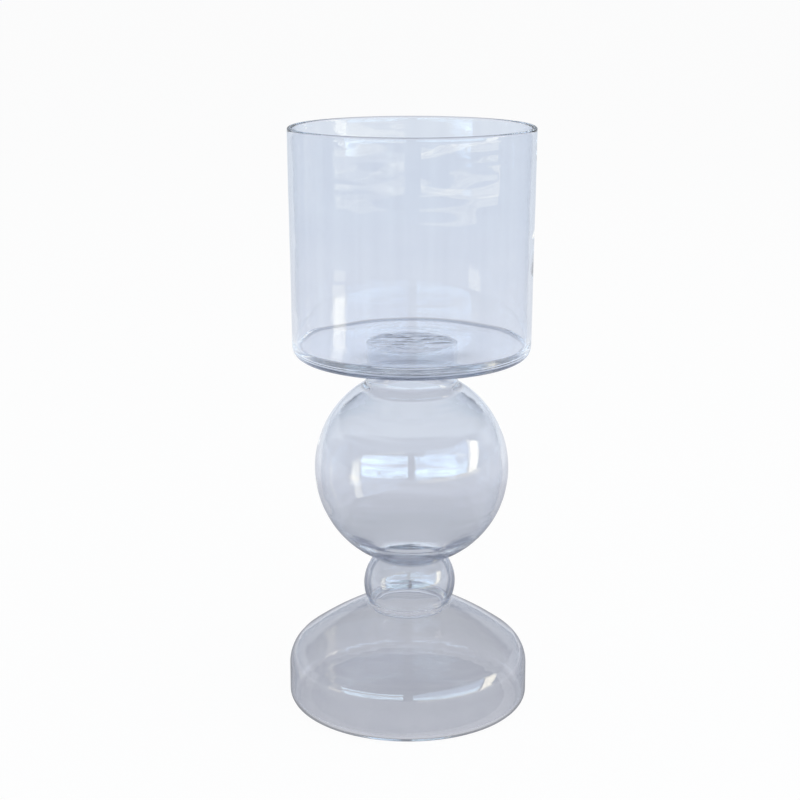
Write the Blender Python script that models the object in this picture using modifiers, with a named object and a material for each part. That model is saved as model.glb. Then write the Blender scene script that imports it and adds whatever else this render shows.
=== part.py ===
"""Hurricane candle lantern: an open glass cup on a blown ball, a knop and a bell foot.

Every piece is turned about the Z axis and is hot-sealed to the piece below it. The foot
stands on the table at Z = 0 and each further piece takes its height from the one that
carries it. Lengths are in metres and angles in radians.
"""
import math

import bpy

# Seams: each hot seal keeps this clearance between its two pieces.
SEAM_GAP = 0.0003

# Foot: a squat bell with a closed floor, a round heel, an upright wall, a round shoulder and a
# domed crown. It stands on a flat ring, and the middle of its floor is pushed up a little.
FOOT_RADIUS = 0.0632
FOOT_WALL = 0.0028
FOOT_WALL_TOP = 0.0197
FOOT_SHOULDER_RADIUS = 0.0167
FOOT_SHOULDER_TURN = math.radians(52.7)
FOOT_CROWN_RADIUS = 0.1884
FOOT_MOUTH_ROUND = 0.0035
FOOT_FLOOR = 0.0024
FOOT_HEEL_ROUND = 0.0052
FOOT_CORNER_ROUND = 0.0030
FOOT_RING_WIDTH = 0.0060
FOOT_PUSH_UP = 0.0010

# Foot seal: a wafer of glass between the knop and the foot.
FOOT_SEAL_HEIGHT = 0.0016

# Knop: a small hollow ellipsoid, cut level where it meets the foot seal and the ball.
KNOP_RADIUS = 0.0241
KNOP_HALF_HEIGHT = 0.0228
KNOP_WALL = 0.0028
KNOP_LOWER_CUT = math.radians(22.9)
KNOP_UPPER_CUT = math.radians(41.4)
KNOP_FLARE_START = math.radians(36.0)

# Waist: the open neck between the knop and the ball, smooth inside and creased outside.
WAIST_WALL = 0.0030

# Ball: a large hollow ellipsoid with a short open neck under the cup.
BALL_RADIUS = 0.0507
BALL_HALF_HEIGHT = 0.0516
BALL_WALL = 0.0028
BALL_FLARE_START = math.radians(60.0)
NECK_RADIUS = 0.0227
NECK_WALL = 0.0047
NECK_HEIGHT = 0.0060
NECK_FILLET = 0.0035
NECK_FLARE_START = math.radians(57.0)

# Cup seal: a wafer of glass that bulges a little between the neck and the cup's floor.
CUP_SEAL_HEIGHT = 0.0099
CUP_SEAL_BULGE = 0.0010

# Cup: an open cylinder with a round heel and a fire-polished rim. Its thick floor is pushed up
# to a flat seat over the seal.
CUP_MOUTH_RADIUS = 0.0621
CUP_HEEL_RADIUS = 0.0615
CUP_HEIGHT = 0.1165
CUP_WALL = 0.0024
CUP_FLOOR = 0.0068
CUP_HEEL_ROUND = 0.0058
CUP_CORNER_ROUND = 0.0015
CUP_PUSH_UP = 0.0026
CUP_SEAT_RADIUS = 0.0245

# Facets: steps round the axis, and the distance at which turned points are merged.
TURN_STEPS = 48
MERGE_DISTANCE = 0.00001

# Glass: a faint blue-grey, smooth and clear.
GLASS_ROUGHNESS = 0.02
GLASS_IOR = 1.5
CUP_COLOUR = (0.80, 0.86, 0.93)
STEM_COLOUR = (0.76, 0.80, 0.88)
FOOT_COLOUR = (0.68, 0.71, 0.78)
SEAL_COLOUR = (0.74, 0.79, 0.87)


def arc(centre, radius, start, end, count):
    """Points of a round arc in the (radius, height) plane, both ends included."""
    angles = [start + (end - start) * i / (count - 1) for i in range(count)]
    return [(centre[0] + radius * math.cos(a), centre[1] + radius * math.sin(a)) for a in angles]


def oval(radius, half_height, start, end, count):
    """Points of an ellipse about the axis, from one latitude to another."""
    angles = [start + (end - start) * i / (count - 1) for i in range(count)]
    return [(radius * math.cos(a), half_height * math.sin(a)) for a in angles]


def bend(first, corner, last, count):
    """Points of a smooth bend from first to last that is drawn towards the corner."""
    points = []
    for i in range(count):
        t = i / (count - 1)
        weights = ((1 - t) ** 2, 2 * t * (1 - t), t ** 2)
        points.append(tuple(
            weights[0] * first[k] + weights[1] * corner[k] + weights[2] * last[k] for k in (0, 1)))
    return points


def flare(before, hollow, bore):
    """Points of a bend that carries a hollow's wall on smoothly and ends upright in a bore."""
    slope = (hollow[1] - before[1]) / (hollow[0] - before[0])
    return bend(hollow, (bore[0], hollow[1] + slope * (bore[0] - hollow[0])), bore, 6)


def glass(name, colour):
    """Clear glass with a faint tint."""
    material = bpy.data.materials.new(name)
    material.use_nodes = True
    shader = material.node_tree.nodes["Principled BSDF"]
    shader.inputs["Base Color"].default_value = (*colour, 1.0)
    shader.inputs["Roughness"].default_value = GLASS_ROUGHNESS
    shader.inputs["Metallic"].default_value = 0.0
    shader.inputs["IOR"].default_value = GLASS_IOR
    shader.inputs["Transmission Weight"].default_value = 1.0
    return material


def turned(name, outline, material, seat, closed=True):
    """One piece turned from an outline that runs down its outer side, placed at its seat."""
    mesh = bpy.data.meshes.new(name)
    edges = [(i, i + 1) for i in range(len(outline) - 1)]
    if closed:
        edges.append((len(outline) - 1, 0))
    mesh.from_pydata([(radius, 0.0, height) for radius, height in outline], edges, [])
    mesh.materials.append(material)
    piece = bpy.data.objects.new(name, mesh)
    piece.location.z = seat
    piece.parent = base
    lantern.objects.link(piece)

    screw = piece.modifiers.new("Turn", "SCREW")
    screw.axis = "Z"
    screw.angle = math.tau
    screw.steps = TURN_STEPS
    screw.render_steps = TURN_STEPS
    screw.use_merge_vertices = True
    screw.merge_threshold = MERGE_DISTANCE
    screw.use_smooth_shade = True
    shading = piece.modifiers.new("Shading", "WEIGHTED_NORMAL")
    shading.keep_sharp = True


def foot_outline(lip_radius, mouth_radius):
    """The bell's outline, from the middle of its floor over the lip to the middle below."""
    inner_radius = FOOT_RADIUS - FOOT_WALL
    shoulder = (FOOT_RADIUS - FOOT_SHOULDER_RADIUS, FOOT_WALL_TOP)
    reach = FOOT_SHOULDER_RADIUS - FOOT_CROWN_RADIUS
    crown = (shoulder[0] + reach * math.cos(FOOT_SHOULDER_TURN),
             shoulder[1] + reach * math.sin(FOOT_SHOULDER_TURN))
    inner_crown_radius = FOOT_CROWN_RADIUS - FOOT_WALL
    lip_angle = math.acos((lip_radius - crown[0]) / FOOT_CROWN_RADIUS)
    lip_height = crown[1] + FOOT_CROWN_RADIUS * math.sin(lip_angle)
    flare_angle = math.acos((mouth_radius + FOOT_MOUTH_ROUND - crown[0]) / inner_crown_radius)
    mouth_angle = math.acos((mouth_radius - crown[0]) / inner_crown_radius)
    mouth_corner = (mouth_radius, crown[1] + inner_crown_radius * math.sin(mouth_angle))

    corner_centre = (inner_radius - FOOT_CORNER_ROUND, FOOT_FLOOR + FOOT_CORNER_ROUND)
    heel_centre = (FOOT_RADIUS - FOOT_HEEL_ROUND, FOOT_HEEL_ROUND)
    ring_radius = heel_centre[0] - FOOT_RING_WIDTH
    floor = bend((0.0, FOOT_PUSH_UP), (ring_radius / 2, FOOT_PUSH_UP), (ring_radius, 0.0), 5)
    inner_crown = arc(crown, inner_crown_radius, FOOT_SHOULDER_TURN, flare_angle, 5)

    outline = [(radius, height + FOOT_FLOOR) for radius, height in floor]
    outline += arc(corner_centre, FOOT_CORNER_ROUND, -math.pi / 2, 0.0, 5)
    outline += arc(shoulder, FOOT_SHOULDER_RADIUS - FOOT_WALL, 0.0, FOOT_SHOULDER_TURN, 7)[:-1]
    outline += inner_crown[:-1]
    outline += bend(inner_crown[-1], mouth_corner, (mouth_radius, lip_height), 5)
    outline += arc(crown, FOOT_CROWN_RADIUS, lip_angle, FOOT_SHOULDER_TURN, 5)[:-1]
    outline += arc(shoulder, FOOT_SHOULDER_RADIUS, FOOT_SHOULDER_TURN, 0.0, 8)
    outline += arc(heel_centre, FOOT_HEEL_ROUND, 0.0, -math.pi / 2, 7)
    outline += floor[::-1]
    return outline, lip_height


def foot_seal_outline(lip_radius, mouth_radius):
    """The wafer under the knop, as wide as the lip that it joins."""
    return [(mouth_radius, FOOT_SEAL_HEIGHT), (lip_radius, FOOT_SEAL_HEIGHT),
            (lip_radius, 0.0), (mouth_radius, 0.0)]


def knop_outline(waist_radius):
    """The hollow knop about its own centre, with the heights of its cuts and its lower bore."""
    inner_radius = KNOP_RADIUS - KNOP_WALL
    inner_half_height = KNOP_HALF_HEIGHT - KNOP_WALL
    top = KNOP_HALF_HEIGHT * math.sin(KNOP_UPPER_CUT)
    bottom = -KNOP_HALF_HEIGHT * math.sin(KNOP_LOWER_CUT)
    floor_angle = math.asin(bottom / inner_half_height)
    hollow = oval(inner_radius, inner_half_height, floor_angle, KNOP_FLARE_START, 7)
    outline = oval(KNOP_RADIUS, KNOP_HALF_HEIGHT, KNOP_UPPER_CUT, -KNOP_LOWER_CUT, 10)
    outline += hollow[:-1]
    outline += flare(hollow[-2], hollow[-1], (waist_radius - WAIST_WALL, top))
    return outline, top, bottom, hollow[0][0]


def ball_outline(waist_radius):
    """The hollow ball and its neck about the ball's own centre."""
    inner_radius = BALL_RADIUS - BALL_WALL
    inner_half_height = BALL_HALF_HEIGHT - BALL_WALL
    waist_angle = math.acos(waist_radius / BALL_RADIUS)
    corner = (NECK_RADIUS, BALL_HALF_HEIGHT * math.sin(math.acos(NECK_RADIUS / BALL_RADIUS)))
    shoulder_angle = math.acos((NECK_RADIUS + NECK_FILLET) / BALL_RADIUS)
    shoulder = (NECK_RADIUS + NECK_FILLET, BALL_HALF_HEIGHT * math.sin(shoulder_angle))
    top = corner[1] + NECK_HEIGHT
    bottom = -BALL_HALF_HEIGHT * math.sin(waist_angle)
    bore = NECK_RADIUS - NECK_WALL

    hollow = oval(inner_radius, inner_half_height, -BALL_FLARE_START, NECK_FLARE_START, 14)
    outline = [(NECK_RADIUS, top)]
    outline += bend((NECK_RADIUS, corner[1] + NECK_FILLET), corner, shoulder, 4)
    outline += oval(BALL_RADIUS, BALL_HALF_HEIGHT, shoulder_angle, -waist_angle, 16)[1:]
    outline += flare(hollow[1], hollow[0], (waist_radius - WAIST_WALL, bottom))[::-1]
    outline += hollow[1:-1]
    outline += flare(hollow[-2], hollow[-1], (bore, top))
    return outline, top, bottom


def cup_seal_outline():
    """The wafer under the cup; its outer side bulges as a round arc."""
    bore = NECK_RADIUS - NECK_WALL
    half = CUP_SEAL_HEIGHT / 2
    bulge_radius = (half ** 2 + CUP_SEAL_BULGE ** 2) / (2 * CUP_SEAL_BULGE)
    bulge_angle = math.asin(half / bulge_radius)
    bulge_centre = (NECK_RADIUS + CUP_SEAL_BULGE - bulge_radius, half)
    outline = [(bore, CUP_SEAL_HEIGHT)]
    outline += arc(bulge_centre, bulge_radius, bulge_angle, -bulge_angle, 7)
    outline += [(bore, 0.0)]
    return outline


def cup_outline():
    """The open cylinder, from the middle of its floor over the rim to the middle below."""
    rim = CUP_WALL / 2
    corner_centre = (CUP_HEEL_RADIUS - CUP_WALL - CUP_CORNER_ROUND, CUP_FLOOR + CUP_CORNER_ROUND)
    heel_centre = (CUP_HEEL_RADIUS - CUP_HEEL_ROUND, CUP_HEEL_ROUND)
    halfway = ((CUP_SEAT_RADIUS + heel_centre[0]) / 2, CUP_PUSH_UP / 2)
    quarter = (heel_centre[0] - CUP_SEAT_RADIUS) / 4
    push_up = bend((CUP_SEAT_RADIUS, CUP_PUSH_UP), (halfway[0] - quarter, CUP_PUSH_UP), halfway, 4)
    push_up += bend(halfway, (halfway[0] + quarter, 0.0), (heel_centre[0], 0.0), 4)[1:-1]
    outline = [(0.0, CUP_PUSH_UP + CUP_FLOOR)]
    outline += [(radius, height + CUP_FLOOR) for radius, height in push_up]
    outline += arc(corner_centre, CUP_CORNER_ROUND, -math.pi / 2, 0.0, 5)
    outline += arc((CUP_MOUTH_RADIUS - rim, CUP_HEIGHT - rim), rim, math.pi, 0.0, 7)
    outline += arc(heel_centre, CUP_HEEL_ROUND, 0.0, -math.pi / 2, 7)
    outline += push_up[::-1]
    outline += [(0.0, CUP_PUSH_UP)]
    return outline


for old in list(bpy.data.objects):
    bpy.data.objects.remove(old)

lantern = bpy.data.collections.new("hurricane_lantern")
bpy.context.scene.collection.children.link(lantern)
base = bpy.data.objects.new("lantern_base", None)
lantern.objects.link(base)

stem_glass = glass("stem_glass", STEM_COLOUR)
seal_glass = glass("seal_glass", SEAL_COLOUR)

# Foot and its seal: the lip and the mouth are as wide as the cut under the knop that they carry.
lip_radius = KNOP_RADIUS * math.cos(KNOP_LOWER_CUT)
waist_radius = KNOP_RADIUS * math.cos(KNOP_UPPER_CUT)
knop, knop_top, knop_bottom, mouth_radius = knop_outline(waist_radius)
foot, lip_height = foot_outline(lip_radius, mouth_radius)
turned("foot", foot, glass("foot_glass", FOOT_COLOUR), 0.0, closed=False)
foot_seal_seat = lip_height + SEAM_GAP
turned("foot_seal", foot_seal_outline(lip_radius, mouth_radius), seal_glass, foot_seal_seat)

# Knop and ball: each is placed by its centre, and they meet at a level waist.
knop_centre = foot_seal_seat + FOOT_SEAL_HEIGHT + SEAM_GAP - knop_bottom
turned("knop", knop, stem_glass, knop_centre)
ball, ball_top, ball_bottom = ball_outline(waist_radius)
ball_centre = knop_centre + knop_top + SEAM_GAP - ball_bottom
turned("ball", ball, stem_glass, ball_centre)

# Cup and its seal on the ball's neck.
cup_seal_seat = ball_centre + ball_top + SEAM_GAP
turned("cup_seal", cup_seal_outline(), seal_glass, cup_seal_seat)
cup_seat = cup_seal_seat + CUP_SEAL_HEIGHT + SEAM_GAP - CUP_PUSH_UP
turned("cup", cup_outline(), glass("cup_glass", CUP_COLOUR), cup_seat, closed=False)
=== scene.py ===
"""Looks of the hurricane candle lantern: clear hand-blown glass on a pale studio floor.

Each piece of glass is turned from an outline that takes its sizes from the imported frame.
Pieces that are hot-sealed to each other share a joint whose faces are unseen, so that light
runs on through the glass there as it does in the real lantern. Lengths are in metres.
"""
import math

import bmesh
import bpy
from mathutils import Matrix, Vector, noise


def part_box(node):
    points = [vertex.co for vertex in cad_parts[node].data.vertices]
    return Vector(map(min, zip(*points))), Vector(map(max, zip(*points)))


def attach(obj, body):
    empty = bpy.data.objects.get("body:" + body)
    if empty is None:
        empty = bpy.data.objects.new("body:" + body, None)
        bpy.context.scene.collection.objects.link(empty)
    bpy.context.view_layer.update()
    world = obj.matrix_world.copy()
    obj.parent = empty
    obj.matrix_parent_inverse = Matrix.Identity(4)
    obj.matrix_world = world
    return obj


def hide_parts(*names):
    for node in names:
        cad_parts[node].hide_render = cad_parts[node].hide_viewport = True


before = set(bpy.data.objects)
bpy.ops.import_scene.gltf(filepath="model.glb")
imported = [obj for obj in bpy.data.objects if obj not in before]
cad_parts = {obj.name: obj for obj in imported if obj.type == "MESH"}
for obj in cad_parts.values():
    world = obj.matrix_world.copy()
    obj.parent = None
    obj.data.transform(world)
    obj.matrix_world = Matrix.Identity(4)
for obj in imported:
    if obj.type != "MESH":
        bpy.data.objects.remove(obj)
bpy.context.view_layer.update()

# Steps round the axis, and the angle above which an edge of the glass stays sharp.
STEPS = 168
SHARP = math.radians(38.0)

# Glass walls and rounds that the frame's boxes do not give.
FOOT_WALL = 0.0018
FOOT_WALL_TOP = 0.0197
FOOT_SHOULDER_RADIUS = 0.0167
FOOT_SHOULDER_TURN = math.radians(52.7)
FOOT_MOUTH_ROUND = 0.0024
FOOT_COLLAR = 0.0032
FOOT_FLOOR = 0.0024
FOOT_HEEL_ROUND = 0.0052
FOOT_CORNER_ROUND = 0.0030
FOOT_RING_WIDTH = 0.0060
FOOT_PUSH_UP = 0.0010
KNOP_ROUNDNESS = 0.946
KNOP_WALL = 0.0020
KNOP_FLARE_START = math.radians(36.0)
WAIST_WALL = 0.0030
BALL_ROUNDNESS = 1.0178
BALL_LOW_WALL = 0.0044
BALL_THIN_WALL = 0.0016
BALL_WALL = 0.0028
BALL_HIGH_WALL = 0.0042
BALL_THIN_AT = math.radians(-42.0)
BALL_THIN_FROM = math.radians(-20.0)
BALL_THICK_FROM = math.radians(30.0)
BALL_FLARE_START = math.radians(63.0)
NECK_WALL = 0.0014
NECK_FILLET = 0.0035
NECK_FLARE_START = math.radians(57.0)
CUP_SEAL_BULGE = 0.0002
CUP_TAPER = 0.0006
CUP_WALL = 0.0024
CUP_FLOOR = 0.0068
CUP_HEEL_ROUND = 0.0058
CUP_CORNER_ROUND = 0.0008
CUP_SEAT_RADIUS = 0.0245
BUBBLE_HEIGHT = 0.0016

# Hand work: how far the axis leans, how far the glass is out of round, and its waves.
LEAN = 0.0018
LEAN_FROM = 0.030
LEAN_TO = 0.105
OUT_OF_ROUND = 0.004
WAVE = 0.00008
RIPPLE = 0.0004

# Glass: how far it bends light, and the scale and the depth of its clouds and streaks.
GLASS_IOR = 1.5
CLOUD_SCALE = (24.0, 24.0, 72.0)
CLOUD_DIM = 0.022
STREAK_SCALE = (130.0, 130.0, 2.5)
CUP_STREAK_DIM = 0.05
FOOT_STREAK_DIM = 0.02

# Painted shade along the glass's edges, which dims it where it is seen on the slant:
# (1 - cosine of the angle, colour).
EDGE_PAINTED_SHADE = [(0.48, (1.0, 1.0, 1.0)), (0.62, (0.92, 0.93, 0.95)), (0.72, (0.82, 0.84, 0.88)),
             (0.84, (0.56, 0.59, 0.66)), (0.95, (0.22, 0.24, 0.30))]

# Painted shade low down at the heels of the cup and the ball. The softness is of its edge: across,
# up and in slant.
HEEL_PAINTED_SHADE = (0.25, 0.28, 0.36)
HEEL_SHADE_SOFTNESS = (0.0012, 0.002, 0.1)
CUP_HEEL_SHADE_HEIGHT = 0.0046
BALL_HEEL_SHADE_DEPTH = 0.70
BALL_HEEL_SHADE_SLANT = 0.56
ANY_SLANT = -0.1

# Longest light paths through the glass.
BOUNCES = 128
CLEAR_BOUNCES = 64


def smooth(value, start, end):
    """0 before start, 1 after end, and a smooth step between them."""
    t = min(1.0, max(0.0, (value - start) / (end - start)))
    return t * t * (3 - 2 * t)


def spread(first, last, count):
    """Evenly spaced numbers, both ends included."""
    return [first + (last - first) * i / (count - 1) for i in range(count)]


def line(first, last, count):
    return [(first[0] + (last[0] - first[0]) * t, first[1] + (last[1] - first[1]) * t)
            for t in spread(0.0, 1.0, count)]


def arc(centre, radius, start, end, count):
    return [(centre[0] + radius * math.cos(a), centre[1] + radius * math.sin(a))
            for a in spread(start, end, count)]


def oval(radius, half_height, middle, start, end, count):
    return [(radius * math.cos(a), middle + half_height * math.sin(a))
            for a in spread(start, end, count)]


def bend(first, corner, last, count):
    points = []
    for t in spread(0.0, 1.0, count):
        weights = ((1 - t) ** 2, 2 * t * (1 - t), t ** 2)
        points.append(tuple(
            weights[0] * first[k] + weights[1] * corner[k] + weights[2] * last[k] for k in (0, 1)))
    return points


def flare(before, hollow, bore):
    """A bend that leaves a hollow's wall smoothly and ends upright in a bore."""
    slope = (hollow[1] - before[1]) / (hollow[0] - before[0])
    return bend(hollow, (bore[0], hollow[1] + slope * (bore[0] - hollow[0])), bore, 30)


def top(node):
    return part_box(node)[1].z


def bottom(node):
    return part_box(node)[0].z


def radius(node):
    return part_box(node)[1].x


def joint(lower, upper):
    """The height of a hot seal: the middle of the clearance between two solids."""
    return (top(lower) + bottom(upper)) / 2


def blown(distance, angle, height, ripple):
    """A point of the turned shape as the hand-blown glass has it."""
    side, depth = math.cos(angle), math.sin(angle)
    wave = noise.noise(Vector((1.6 * side, 1.6 * depth, 90 * height + 900 * distance)))
    away = distance * (1 + OUT_OF_ROUND * math.cos(2 * angle + 18 * height))
    away += WAVE * wave * smooth(distance, 0.0, 0.02)
    lean = -LEAN * (1 - smooth(height, LEAN_FROM, LEAN_TO))
    x, y = away * side, away * depth
    return x + lean, y, height + ripple(x, y, height)


def level(x, y, height):
    return 0.0


def turned(name, runs, finish, ripple=level):
    """One piece turned from runs of outline points; a run marked as a joint is unseen."""
    outline = []
    joints = set()
    for points, is_joint in runs:
        if outline:
            points = points[1:]
        if is_joint:
            joints.update(range(len(outline) - 1, len(outline) - 1 + len(points)))
        outline += points
    closed = outline[0] == outline[-1]
    if closed:
        outline.pop()
    mesh = bmesh.new()
    rings = []
    for distance, height in outline:
        angles = [math.tau * k / STEPS for k in range(STEPS if distance > 1e-7 else 1)]
        rings.append([mesh.verts.new(blown(distance, a, height, ripple)) for a in angles])
    for i in range(len(outline) if closed else len(outline) - 1):
        lower, upper = rings[i], rings[(i + 1) % len(outline)]
        for k in range(STEPS):
            corners = [lower[k % len(lower)], upper[k % len(upper)],
                       upper[(k + 1) % len(upper)], lower[(k + 1) % len(lower)]]
            face = mesh.faces.new(list(dict.fromkeys(corners)))
            face.smooth = True
            face.material_index = 1 if i in joints else 0
    bmesh.ops.recalc_face_normals(mesh, faces=mesh.faces)
    data = bpy.data.meshes.new(name)
    mesh.to_mesh(data)
    mesh.free()
    data.set_sharp_from_angle(angle=SHARP)
    data.materials.append(finish)
    data.materials.append(unseen)
    piece = bpy.data.objects.new(name + "_glass", data)
    bpy.context.scene.collection.objects.link(piece)
    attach(piece, "root")
    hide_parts(name)
    return piece


def node(tree, kind, **settings):
    made = tree.nodes.new("ShaderNode" + kind)
    for key, value in settings.items():
        setattr(made, key, value)
    return made


def ramp(tree, stops):
    made = node(tree, "ValToRGB")
    elements = made.color_ramp.elements
    while len(elements) < len(stops):
        elements.new(0.5)
    for element, (place, colour, *alpha) in zip(elements, stops):
        element.position = place
        element.color = (*colour, *(alpha or [1.0]))
    return made


def multiplied(tree, first, second, share=None):
    """The product of two colours; second is a socket or a plain colour."""
    blend = node(tree, "Mix", data_type="RGBA", blend_type="MULTIPLY")
    blend.inputs["Factor"].default_value = 1.0
    if share is not None:
        tree.links.new(share, blend.inputs["Factor"])
    tree.links.new(first, blend.inputs[6])
    if isinstance(second, tuple):
        blend.inputs[7].default_value = (*second, 1.0)
    else:
        tree.links.new(second, blend.inputs[7])
    return blend.outputs[2]


def mapped(tree, value, start, end, **settings):
    """0 up to start, 1 from end on."""
    made = node(tree, "MapRange", **settings)
    made.inputs["From Min"].default_value = start
    made.inputs["From Max"].default_value = end
    tree.links.new(value, made.inputs["Value"])
    return made.outputs[0]


def combined(tree, operation, first, second, **settings):
    """A Math node's result; second is a socket or a number."""
    made = node(tree, "Math", operation=operation, **settings)
    tree.links.new(first, made.inputs[0])
    if isinstance(second, float):
        made.inputs[1].default_value = second
    else:
        tree.links.new(second, made.inputs[1])
    return made.outputs[0]


def glass(name, stops, streaks, heel_shade=None):
    """Clear glass: a faint tint by height, painted shade on the slant, with clouds and upright
    streaks.

    stops are (height, colour, share of the slant's painted shade), and streaks is how far a streak
    dims it.
    heel_shade is the (distance from the axis, height, slant) beyond which painted shade darkens
    it.
    """
    material = bpy.data.materials.new(name)
    material.use_nodes = True
    tree = material.node_tree
    shader = tree.nodes["Principled BSDF"]
    shader.inputs["Transmission Weight"].default_value = 1.0
    shader.inputs["IOR"].default_value = GLASS_IOR
    shader.inputs["Roughness"].default_value = 0.0
    place = node(tree, "TexCoord").outputs["Object"]
    split = node(tree, "SeparateXYZ")
    tree.links.new(place, split.inputs[0])
    lowest, highest = stops[0][0], stops[-1][0]
    tint = ramp(tree, [((height - lowest) / (highest - lowest), colour, share)
                       for height, colour, share in stops])
    tree.links.new(mapped(tree, split.outputs["Z"], lowest, highest), tint.inputs[0])
    colour = tint.outputs[0]
    for scale, dim in ((CLOUD_SCALE, CLOUD_DIM), (STREAK_SCALE, streaks)):
        stretch = node(tree, "Mapping")
        stretch.inputs["Scale"].default_value = scale
        tree.links.new(place, stretch.inputs["Vector"])
        uneven = node(tree, "TexNoise")
        uneven.inputs["Scale"].default_value = 1.0
        uneven.inputs["Detail"].default_value = 3.0
        tree.links.new(stretch.outputs[0], uneven.inputs["Vector"])
        cloud = ramp(tree, [(0.3, (1 - dim, 1 - dim, 1 - 0.7 * dim)), (0.7, (1.0, 1.0, 1.0))])
        tree.links.new(uneven.outputs["Fac"], cloud.inputs[0])
        colour = multiplied(tree, colour, cloud.outputs[0])
    slant = node(tree, "LayerWeight")
    slant.inputs["Blend"].default_value = 0.5
    # Painted shade at the heel: beyond a distance from the axis, below a height and on the slant.
    if heel_shade:
        across = node(tree, "VectorMath", operation="MULTIPLY")
        across.inputs[1].default_value = (1.0, 1.0, 0.0)
        tree.links.new(place, across.inputs[0])
        away = node(tree, "VectorMath", operation="LENGTH")
        tree.links.new(across.outputs[0], away.inputs[0])
        beyond = mapped(tree, away.outputs["Value"], heel_shade[0], heel_shade[0] + HEEL_SHADE_SOFTNESS[0])
        below = mapped(tree, split.outputs["Z"], heel_shade[1], heel_shade[1] - HEEL_SHADE_SOFTNESS[1])
        grazed = mapped(tree, slant.outputs["Facing"], heel_shade[2], heel_shade[2] + HEEL_SHADE_SOFTNESS[2])
        low = combined(tree, "MULTIPLY", beyond, below)
        colour = multiplied(tree, colour, HEEL_PAINTED_SHADE, combined(tree, "MULTIPLY", low, grazed))
    # Painted shade: the colour darkens where the glass is seen on the slant.
    edge = ramp(tree, EDGE_PAINTED_SHADE)
    tree.links.new(slant.outputs["Facing"], edge.inputs[0])
    dimmed = multiplied(tree, colour, edge.outputs[0], tint.outputs["Alpha"])
    tree.links.new(dimmed, shader.inputs["Base Color"])
    return material


def reflected(tree, seen):
    """1 for a ray that comes off a reflection, and 0 for one that comes through glass."""
    return combined(tree, "SUBTRACT", seen.outputs["Is Glossy Ray"],
                    seen.outputs["Is Transmission Ray"], use_clamp=True)


def unseen_joint():
    material = bpy.data.materials.new("unseen_joint")
    material.use_nodes = True
    tree = material.node_tree
    tree.nodes.remove(tree.nodes["Principled BSDF"])
    clear = node(tree, "BsdfTransparent")
    tree.links.new(clear.outputs[0], tree.nodes["Material Output"].inputs["Surface"])
    return material


# Camera, at the photograph's viewing angle.
lens = bpy.data.cameras.new("camera")
lens.lens = 73.735
lens.sensor_width = 36.0
lens.clip_start = 0.01
camera = bpy.data.objects.new("camera", lens)
camera.location = (-0.00605, -0.82255, 0.37756)
camera.rotation_euler = (math.radians(75.4654), 0.0, 0.0)
bpy.context.scene.collection.objects.link(camera)
bpy.context.scene.camera = camera
bpy.context.scene.view_settings.view_transform = "Standard"
cycles = bpy.context.scene.cycles
cycles.max_bounces = cycles.glossy_bounces = cycles.transmission_bounces = BOUNCES
cycles.transparent_max_bounces = CLEAR_BOUNCES

# Heights of the joints and radii at them.
foot_joint = joint("foot", "foot_seal")
knop_joint = joint("foot_seal", "knop")
waist_joint = joint("knop", "ball")
neck_joint = joint("ball", "cup_seal")
cup_joint = joint("cup_seal", "cup")
knop_radius = radius("knop")
knop_half = knop_radius * KNOP_ROUNDNESS
lip_radius = radius("foot_seal")
knop_low = math.acos(lip_radius / knop_radius)
knop_middle = knop_joint + knop_half * math.sin(knop_low)
knop_high = math.asin((waist_joint - knop_middle) / knop_half)
waist_radius = knop_radius * math.cos(knop_high)
throat = waist_radius - WAIST_WALL
ball_radius = radius("ball")
ball_half = ball_radius * BALL_ROUNDNESS
ball_low = math.acos(waist_radius / ball_radius)
ball_middle = waist_joint + ball_half * math.sin(ball_low)
neck_radius = radius("cup_seal") - CUP_SEAL_BULGE
bore = neck_radius - NECK_WALL

# Glasses, with their tints by height and the share of the slant's painted shade at each height.
unseen = unseen_joint()
# The stem and the seals are a little darker and greyer low down than high up: a faint painted
# shade.
clear_blue, clear = (0.915, 0.935, 0.965), (0.905, 0.92, 0.945)
clear_grey = (0.925, 0.93, 0.945)
# Painted shade in the crease where the ball meets the knop.
painted_crease_shade = (0.40, 0.43, 0.50)
cup_foot = bottom("cup")
cup_floor = cup_foot + CUP_FLOOR
heel_start = radius("cup") - CUP_TAPER - CUP_HEEL_ROUND
# The cup has painted shade at its heel, and the stem has it at the bottom of the ball.
cup_glass = glass("cup_glass", [
    (cup_foot, clear_blue, 0.8), (cup_floor - 0.001, clear_blue, 0.1),
    (cup_floor + 0.004, clear_blue, 0.1), (cup_floor + 0.007, clear_blue, 0.8),
    (top("cup"), clear_blue, 0.8)], CUP_STREAK_DIM,
    heel_shade=(heel_start + 0.0008, cup_foot + CUP_HEEL_SHADE_HEIGHT, ANY_SLANT))
stem_glass = glass("stem_glass", [
    (bottom("knop"), clear, 0.5), (waist_joint - 0.0010, clear, 0.5),
    (waist_joint - 0.0005, painted_crease_shade, 0.5), (waist_joint, painted_crease_shade, 1.0),
    (waist_joint + 0.0006, clear, 1.0), (ball_middle - 0.4 * ball_half, clear, 0.9),
    (ball_middle, clear_blue, 0.7), (top("ball"), clear_blue, 0.4)], 0.0,
    heel_shade=(0.0, ball_middle - BALL_HEEL_SHADE_DEPTH * ball_half, BALL_HEEL_SHADE_SLANT))
seal_glass = glass("seal_glass", [
    (bottom("foot_seal"), clear, 0.4), (top("cup_seal"), clear_blue, 0.1)], 0.0)
foot_glass = glass("foot_glass", [
    (0.0, clear_grey, 1.0), (top("foot"), clear_grey, 1.0)], FOOT_STREAK_DIM)

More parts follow.
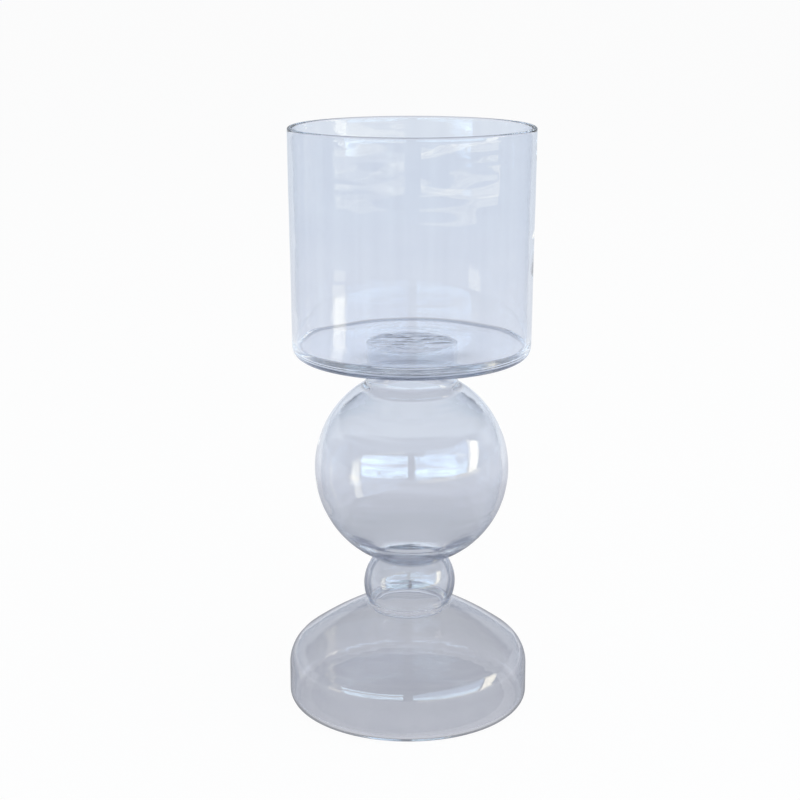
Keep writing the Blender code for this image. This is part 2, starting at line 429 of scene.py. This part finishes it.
# Foot: a closed bell.
foot_radius = radius("foot")
foot_inner = foot_radius - FOOT_WALL
turn = (math.cos(FOOT_SHOULDER_TURN), math.sin(FOOT_SHOULDER_TURN))
shoulder = (foot_radius - FOOT_SHOULDER_RADIUS, FOOT_WALL_TOP)
reach = (lip_radius - shoulder[0] - FOOT_SHOULDER_RADIUS * turn[0],
         foot_joint - shoulder[1] - FOOT_SHOULDER_RADIUS * turn[1])
crown_radius = -(reach[0] ** 2 + reach[1] ** 2) / (
    2 * (reach[0] * turn[0] + reach[1] * turn[1]))
crown = (shoulder[0] + (FOOT_SHOULDER_RADIUS - crown_radius) * turn[0],
         shoulder[1] + (FOOT_SHOULDER_RADIUS - crown_radius) * turn[1])
inner_crown = crown_radius - FOOT_WALL
mouth_half = knop_half - KNOP_WALL


def mouth_at(height):
    """A point of the knop's hollow, which runs on down through the seal to the foot's mouth."""
    rise = (height - knop_middle) / mouth_half
    return (knop_radius - KNOP_WALL) * math.sqrt(1 - rise ** 2), height


def under_crown(height):
    return crown[0] + math.sqrt(inner_crown ** 2 - (height - crown[1]) ** 2)


lip_angle = math.acos((lip_radius - crown[0]) / crown_radius)

# The edge where the knop's hollow meets the underside of the crown, found by halving.
HALVINGS = 40
edge_low, edge_high = foot_joint - 2 * FOOT_WALL, foot_joint
for _ in range(HALVINGS):
    edge = (edge_low + edge_high) / 2
    if mouth_at(edge)[0] < under_crown(edge):
        edge_low = edge
    else:
        edge_high = edge
flare_angle = math.acos((mouth_at(edge)[0] + FOOT_MOUTH_ROUND - crown[0]) / inner_crown)
ring_outer = foot_radius - FOOT_HEEL_ROUND
ring_inner = ring_outer - FOOT_RING_WIDTH
push_up = bend((0.0, FOOT_PUSH_UP), (ring_inner / 2, FOOT_PUSH_UP), (ring_inner, 0.0), 24)
floor_run = [(r, z + FOOT_FLOOR) for r, z in push_up]
floor_end = (foot_inner - FOOT_CORNER_ROUND, FOOT_FLOOR)
inner_crown_run = arc(crown, inner_crown, FOOT_SHOULDER_TURN, flare_angle, 26)
foot_run = floor_run[:-1]
foot_run += line((ring_inner, FOOT_FLOOR), floor_end, 5)[:-1]
foot_run += arc((floor_end[0], FOOT_FLOOR + FOOT_CORNER_ROUND), FOOT_CORNER_ROUND,
                -math.pi / 2, 0.0, 10)[:-1]
foot_run += line((foot_inner, FOOT_FLOOR + FOOT_CORNER_ROUND),
                 (foot_inner, FOOT_WALL_TOP), 10)[:-1]
foot_run += arc(shoulder, FOOT_SHOULDER_RADIUS - FOOT_WALL, 0.0, FOOT_SHOULDER_TURN, 22)[:-1]
foot_run += inner_crown_run[:-1]
collar = (mouth_at(edge)[0] + FOOT_MOUTH_ROUND / 3, edge - FOOT_COLLAR)
foot_run += bend(inner_crown_run[-1], (collar[0] + FOOT_MOUTH_ROUND / 2, collar[1]),
                 collar, 10)[:-1]
foot_run += bend(collar, (mouth_at(edge)[0] - FOOT_MOUTH_ROUND / 3, collar[1]),
                 mouth_at(edge), 10)[:-1]
foot_run += [mouth_at(z) for z in spread(edge, foot_joint, 4)]
outer_run = arc(crown, crown_radius, lip_angle, FOOT_SHOULDER_TURN, 30)[:-1]
outer_run += arc(shoulder, FOOT_SHOULDER_RADIUS, FOOT_SHOULDER_TURN, 0.0, 26)[:-1]
outer_run += line((foot_radius, FOOT_WALL_TOP), (foot_radius, FOOT_HEEL_ROUND), 10)[:-1]
outer_run += arc((ring_outer, FOOT_HEEL_ROUND), FOOT_HEEL_ROUND, 0.0, -math.pi / 2, 14)[:-1]
outer_run += line((ring_outer, 0.0), (ring_inner, 0.0), 5)[:-1] + push_up[::-1]
outer_run[0] = (lip_radius, foot_joint)
turned("foot", [(foot_run, False), ([foot_run[-1], outer_run[0]], True), (outer_run, False)],
       foot_glass)

# Foot seal: the wafer between the foot's lip and the knop.
lip_low, lip_high = (lip_radius, foot_joint), (lip_radius, knop_joint)
bore_run = [mouth_at(z) for z in spread(foot_joint, knop_joint, 5)]
turned("foot_seal", [([bore_run[-1], lip_high], True), (line(lip_high, lip_low, 5), False),
                     ([lip_low, bore_run[0]], True), (bore_run, False)],
       seal_glass)

# Knop.
knop_run = oval(knop_radius, knop_half, knop_middle, knop_high, -knop_low, 60)
mouth_angle = math.asin((knop_joint - knop_middle) / mouth_half)
hollow = oval(knop_radius - KNOP_WALL, mouth_half, knop_middle, mouth_angle, KNOP_FLARE_START, 40)
hollow[0] = bore_run[-1]
knop_inner = hollow[:-1] + flare(hollow[-2], hollow[-1], (throat, waist_joint))
turned("knop", [(knop_run, False), ([knop_run[-1], knop_inner[0]], True), (knop_inner, False),
                ([knop_inner[-1], knop_run[0]], True)], stem_glass)

# Ball and its neck.
corner = (neck_radius, ball_middle + ball_half * math.sin(math.acos(neck_radius / ball_radius)))
neck_angle = math.acos((neck_radius + NECK_FILLET) / ball_radius)
neck_foot = (neck_radius + NECK_FILLET, ball_middle + ball_half * math.sin(neck_angle))
fillet_top = (neck_radius, corner[1] + NECK_FILLET)
ball_run = line((neck_radius, neck_joint), fillet_top, 4)[:-1]
ball_run += bend(fillet_top, corner, neck_foot, 12)[:-1]
ball_run += oval(ball_radius, ball_half, ball_middle, neck_angle, -ball_low, 110)
hollow = []
for latitude in spread(-BALL_FLARE_START, NECK_FLARE_START, 110):
    wall = BALL_LOW_WALL
    wall += (BALL_THIN_WALL - BALL_LOW_WALL) * smooth(latitude, -BALL_FLARE_START, BALL_THIN_AT)
    wall += (BALL_WALL - BALL_THIN_WALL) * smooth(latitude, BALL_THIN_AT, BALL_THIN_FROM)
    wall += (BALL_HIGH_WALL - BALL_WALL) * smooth(latitude, BALL_THICK_FROM, NECK_FLARE_START)
    hollow += oval(ball_radius - wall, ball_half - wall, ball_middle, latitude, latitude, 2)[:1]
ball_inner = flare(hollow[1], hollow[0], (throat, waist_joint))[::-1]
ball_inner += hollow[1:-1] + flare(hollow[-2], hollow[-1], (bore, neck_joint))
turned("ball", [(ball_run, False), ([ball_run[-1], ball_inner[0]], True), (ball_inner, False),
                ([ball_inner[-1], ball_run[0]], True)], stem_glass)

# Cup seal.
half = (cup_joint - neck_joint) / 2
bulge = (half ** 2 + CUP_SEAL_BULGE ** 2) / (2 * CUP_SEAL_BULGE)
bulge_turn = math.asin(half / bulge)
seal_run = arc((neck_radius + CUP_SEAL_BULGE - bulge, neck_joint + half), bulge,
               bulge_turn, -bulge_turn, 20)
seal_inner = line((bore, neck_joint), (bore, cup_joint), 8)
turned("cup_seal", [(seal_run, False), ([seal_run[-1], seal_inner[0]], True),
                    (seal_inner, False), ([seal_inner[-1], seal_run[0]], True)],
       seal_glass)

# Cup: its floor is pushed up over the seal, and the bore ends in a flat bubble under it.
mouth_radius = radius("cup")
heel_radius = mouth_radius - CUP_TAPER
rim = CUP_WALL / 2
seal_top = seal_run[0][0]
corner_centre = (heel_radius - CUP_WALL - CUP_CORNER_ROUND, cup_floor + CUP_CORNER_ROUND)
heel_centre = (heel_radius - CUP_HEEL_ROUND, cup_foot + CUP_HEEL_ROUND)
kick = cup_joint - cup_foot


def floor_ripple(x, y, height):
    """Unevenness of the floor over the seal and of the bubble under it."""
    away = math.hypot(x, y)
    if height > cup_joint + BUBBLE_HEIGHT + 0.001:
        fade = 1 - smooth(away, 0.7 * seal_top, 1.1 * seal_top)
        fade *= 1 - smooth(height, cup_floor + 0.005, cup_floor + 0.007)
        return RIPPLE * fade * noise.noise(Vector((70 * x, 300 * y, 3.7)))
    if away < bore:
        fade = 1 - smooth(away, 0.4 * bore, 0.95 * bore)
        return 2 * RIPPLE * fade * noise.noise(Vector((220 * x, 260 * y, 9.1)))
    return 0.0


cup_run = [(r, cup_floor + kick * (1 - smooth(r, CUP_SEAT_RADIUS, heel_centre[0])))
           for r in spread(0.0, corner_centre[0], 90)][:-1]
cup_run += arc(corner_centre, CUP_CORNER_ROUND, -math.pi / 2, 0.0, 8)
cup_run += line(cup_run[-1], (mouth_radius - CUP_WALL, top("cup") - rim), 50)[1:-1]
cup_run += arc((mouth_radius - rim, top("cup") - rim), rim, math.pi, 0.0, 16)
cup_run += line(cup_run[-1], (heel_radius, heel_centre[1]), 50)[1:-1]
cup_run += arc(heel_centre, CUP_HEEL_ROUND, 0.0, -math.pi / 2, 18)
cup_run += [(r, cup_foot + kick * (1 - smooth(r, CUP_SEAT_RADIUS, heel_centre[0])))
            for r in spread(heel_centre[0], seal_top, 40)][1:]
bubble_run = [(r, cup_joint + BUBBLE_HEIGHT * (1 - (r / bore) ** 4))
              for r in spread(bore, 0.0, 20)]
turned("cup", [(cup_run, False), ([cup_run[-1], bubble_run[0]], True), (bubble_run, False)],
       cup_glass, floor_ripple)

# Floor: white to the camera, and to the glass a pale tone with a painted shadow that deepens under
# the lantern, deeper still in reflections. The stops are at d / (d + FLOOR_HALF), where d is the
# distance from the axis.
FLOOR_SIZE = 40.0
FLOOR_HALF = 0.5
FLOOR_GLOW = 0.96
FLOOR_PAINTED_SHADOW_TONES = [
    (0.0, (0.62, 0.635, 0.685)), (0.07, (0.70, 0.715, 0.765)), (0.112, (0.65, 0.665, 0.715)),
    (0.15, (0.59, 0.605, 0.65)), (0.22, (0.575, 0.59, 0.63)), (0.26, (0.63, 0.645, 0.69)),
    (0.333, (0.66, 0.675, 0.725)), (0.405, (0.655, 0.665, 0.715)), (0.46, (0.73, 0.745, 0.80)),
    (0.516, (0.765, 0.785, 0.84)), (0.55, (0.89, 0.915, 0.96)), (0.69, (0.86, 0.89, 0.94)),
    (0.80, (0.815, 0.865, 0.93))]
FLOOR_MIRRORED_SHADOW = [(0.0, (0.5, 0.5, 0.5)), (0.25, (0.55, 0.55, 0.55)), (0.45, (1.0, 1.0, 1.0))]
disc = bmesh.new()
bmesh.ops.create_circle(disc, cap_ends=True, segments=128, radius=FLOOR_SIZE)
floor_mesh = bpy.data.meshes.new("floor")
disc.to_mesh(floor_mesh)
disc.free()
floor = bpy.data.objects.new("floor", floor_mesh)
bpy.context.scene.collection.objects.link(floor)
paper = bpy.data.materials.new("floor_paper")
paper.use_nodes = True
tree = paper.node_tree
shader = tree.nodes["Principled BSDF"]
shader.inputs["Base Color"].default_value = (0.86, 0.86, 0.86, 1.0)
shader.inputs["Roughness"].default_value = 1.0
shader.inputs["Specular IOR Level"].default_value = 0.0
far = node(tree, "VectorMath", operation="LENGTH")
tree.links.new(node(tree, "TexCoord").outputs["Object"], far.inputs[0])
distance = far.outputs["Value"]
share = combined(tree, "DIVIDE", distance, combined(tree, "ADD", distance, FLOOR_HALF))
shadow_tone = ramp(tree, FLOOR_PAINTED_SHADOW_TONES)
tree.links.new(share, shadow_tone.inputs[0])
mirrored = ramp(tree, FLOOR_MIRRORED_SHADOW)
tree.links.new(share, mirrored.inputs[0])
seen = node(tree, "LightPath")
bounced = combined(tree, "MAXIMUM", seen.outputs["Is Glossy Ray"],
                   seen.outputs["Is Transmission Ray"])
pick = node(tree, "Mix", data_type="RGBA")
pick.inputs[6].default_value = (1.0, 1.0, 1.0, 1.0)
tree.links.new(bounced, pick.inputs[0])
# Reflections see the painted shadow deeper still.
shadow_toned = multiplied(tree, shadow_tone.outputs[0], mirrored.outputs[0], reflected(tree, seen))
tree.links.new(shadow_toned, pick.inputs[7])
glow = node(tree, "Emission")
tree.links.new(pick.outputs[2], glow.inputs["Color"])
any_seen = combined(tree, "MAXIMUM", seen.outputs["Is Camera Ray"], bounced)
mixed = node(tree, "MixShader")
tree.links.new(combined(tree, "MULTIPLY", any_seen, FLOOR_GLOW), mixed.inputs[0])
tree.links.new(shader.outputs[0], mixed.inputs[1])
tree.links.new(glow.outputs[0], mixed.inputs[2])
tree.links.new(mixed.outputs[0], tree.nodes["Material Output"].inputs["Surface"])
floor_mesh.materials.append(paper)

# World: a pale sweep behind the lantern, dimmer in reflections, and a dim room round it.
SWEEP = (0.85, 0.90, 0.98, 1.0)
SWEEP_MIRRORED = (0.40, 0.425, 0.465, 1.0)
SWEEP_TOP = (0.35, 0.26)
SWEEP_SIDE = (-0.2, 0.3)
ROOM = (0.20, 0.225, 0.27, 1.0)
world = bpy.data.worlds.new("studio")
world.use_nodes = True
bpy.context.scene.world = world
tree = world.node_tree
split = node(tree, "SeparateXYZ")
tree.links.new(node(tree, "TexCoord").outputs["Generated"], split.inputs[0])
low_sky = mapped(tree, split.outputs["Z"], *SWEEP_TOP, interpolation_type="SMOOTHSTEP")
back_sky = mapped(tree, split.outputs["Y"], *SWEEP_SIDE, interpolation_type="SMOOTHSTEP")
seen = node(tree, "LightPath")
mirrored = node(tree, "Mix", data_type="RGBA")
mirrored.inputs[6].default_value = SWEEP
mirrored.inputs[7].default_value = SWEEP_MIRRORED
tree.links.new(reflected(tree, seen), mirrored.inputs[0])
sky = node(tree, "Mix", data_type="RGBA")
sky.inputs[6].default_value = ROOM
tree.links.new(combined(tree, "MULTIPLY", low_sky, back_sky), sky.inputs[0])
tree.links.new(mirrored.outputs[2], sky.inputs[7])
backdrop = node(tree, "Mix", data_type="RGBA")
backdrop.inputs[7].default_value = (1.0, 1.0, 1.0, 1.0)
tree.links.new(seen.outputs["Is Camera Ray"], backdrop.inputs[0])
tree.links.new(sky.outputs[2], backdrop.inputs[6])
tree.links.new(backdrop.outputs[2], tree.nodes["Background"].inputs["Color"])

# Window cards: rows up a card, columns between two stations, and the grain of the streaks.
PANE_ROWS = 8
PANE_COLUMNS = 12
PANE_GRAIN = (3.0, 26.0, 1.0)


def pane(name, stations, away, strength, colours, gaps):
    """A window card on an arc about the ball, lit in bands up its height and in uneven streaks.

    Each station is an upright edge as (azimuth, elevation) of its foot and then of its head.
    """
    card = bmesh.new()
    layer = card.loops.layers.uv.new("UVMap")
    grid = []
    for first, last in zip(stations, stations[1:]):
        for t in spread(0.0, 1.0, PANE_COLUMNS + 1)[1 if grid else 0:]:
            edge = [math.radians(a + (b - a) * t) for a, b in zip(first, last)]
            ends = [Vector((away * math.sin(azimuth), -away * math.cos(azimuth),
                            ball_middle + away * math.tan(rise)))
                    for azimuth, rise in (edge[:2], edge[2:])]
            grid.append([card.verts.new(ends[0].lerp(ends[1], j / PANE_ROWS))
                         for j in range(PANE_ROWS + 1)])
    columns = len(grid) - 1
    for i in range(columns):
        for j in range(PANE_ROWS):
            corners = ((i, j), (i + 1, j), (i + 1, j + 1), (i, j + 1))
            face = card.faces.new([grid[u][v] for u, v in corners])
            for loop, (u, v) in zip(face.loops, corners):
                loop[layer].uv = (u / columns, v / PANE_ROWS)
    data = bpy.data.meshes.new(name)
    card.to_mesh(data)
    card.free()
    piece = bpy.data.objects.new(name, data)
    piece.visible_camera = False
    bpy.context.scene.collection.objects.link(piece)
    material = bpy.data.materials.new(name)
    material.use_nodes = True
    tree = material.node_tree
    tree.nodes.remove(tree.nodes["Principled BSDF"])
    place = node(tree, "TexCoord")
    split = node(tree, "SeparateXYZ")
    tree.links.new(place.outputs["UV"], split.inputs[0])
    rise = ramp(tree, colours)
    tree.links.new(split.outputs["Y"], rise.inputs[0])
    stretch = node(tree, "Mapping")
    stretch.inputs["Scale"].default_value = PANE_GRAIN
    tree.links.new(place.outputs["UV"], stretch.inputs["Vector"])
    uneven = node(tree, "TexNoise", noise_dimensions="2D")
    uneven.inputs["Scale"].default_value = 1.0
    uneven.inputs["Detail"].default_value = 2.0
    tree.links.new(stretch.outputs[0], uneven.inputs["Vector"])
    streaks = ramp(tree, [(0.40, (1 - gaps, 1 - gaps, 1 - gaps)), (0.52, (1.0, 1.0, 1.0))])
    tree.links.new(uneven.outputs["Fac"], streaks.inputs[0])
    glow = node(tree, "Emission")
    glow.inputs["Strength"].default_value = strength
    tree.links.new(multiplied(tree, rise.outputs[0], streaks.outputs[0]), glow.inputs["Color"])
    tree.links.new(glow.outputs[0], tree.nodes["Material Output"].inputs["Surface"])
    data.materials.append(material)
    return piece


WHITE, SKY, SHADE = (0.66, 0.86, 1.0), (0.28, 0.36, 0.48), (0.22, 0.21, 0.21)
CREAM = [(0.0, (1.0, 0.93, 0.72)), (1.0, (1.0, 0.93, 0.72))]
BLINDS = [(0.0, SHADE), (0.08, WHITE), (0.50, WHITE), (0.56, SHADE), (0.68, SHADE),
          (0.74, WHITE), (1.0, WHITE)]
DAYLIGHT = [(0.0, WHITE), (0.30, WHITE), (0.42, SKY), (1.0, SKY)]
pane("window_left", [(-5, 2, -5, 25), (-34, -1, -34, 22), (-61, -4, -67, 16)],
     3.0, 5.0, BLINDS, 0.6)
pane("window_right", [(4, 3, 4, 21), (20, 2, 20, 31), (66, 0, 84, 27)],
     3.0, 5.0, DAYLIGHT, 0.45)
pane("curtain_right", [(68, -2, 85, 26), (81, -1, 98, 19)], 3.0, 5.5, CREAM, 0.0)
pane("curtain_left", [(-63, -8, -63, -4), (-77, -8, -77, -4)], 0.9, 2.5, CREAM, 0.0)
pane("sill_high", [(8, -1.4, 8, -0.4), (86, -1.6, 86, 0.0)], 2.0, 3.6, CREAM, 0.6)
pane("sill_low", [(8, -3.6, 8, -2.8), (86, -3.6, 86, -2.3)], 2.0, 3.2, CREAM, 0.6)

# A soft lamp overhead for the floor and its shadow.
lamp = bpy.data.lights.new("overhead", "AREA")
lamp.size = 2.5
lamp.energy = 30.0
lamp_object = bpy.data.objects.new("overhead", lamp)
lamp_object.location = (0.4, -0.4, 2.4)
lamp_object.visible_glossy = False
lamp_object.visible_transmission = False
lamp_object.visible_camera = False
bpy.context.scene.collection.objects.link(lamp_object)
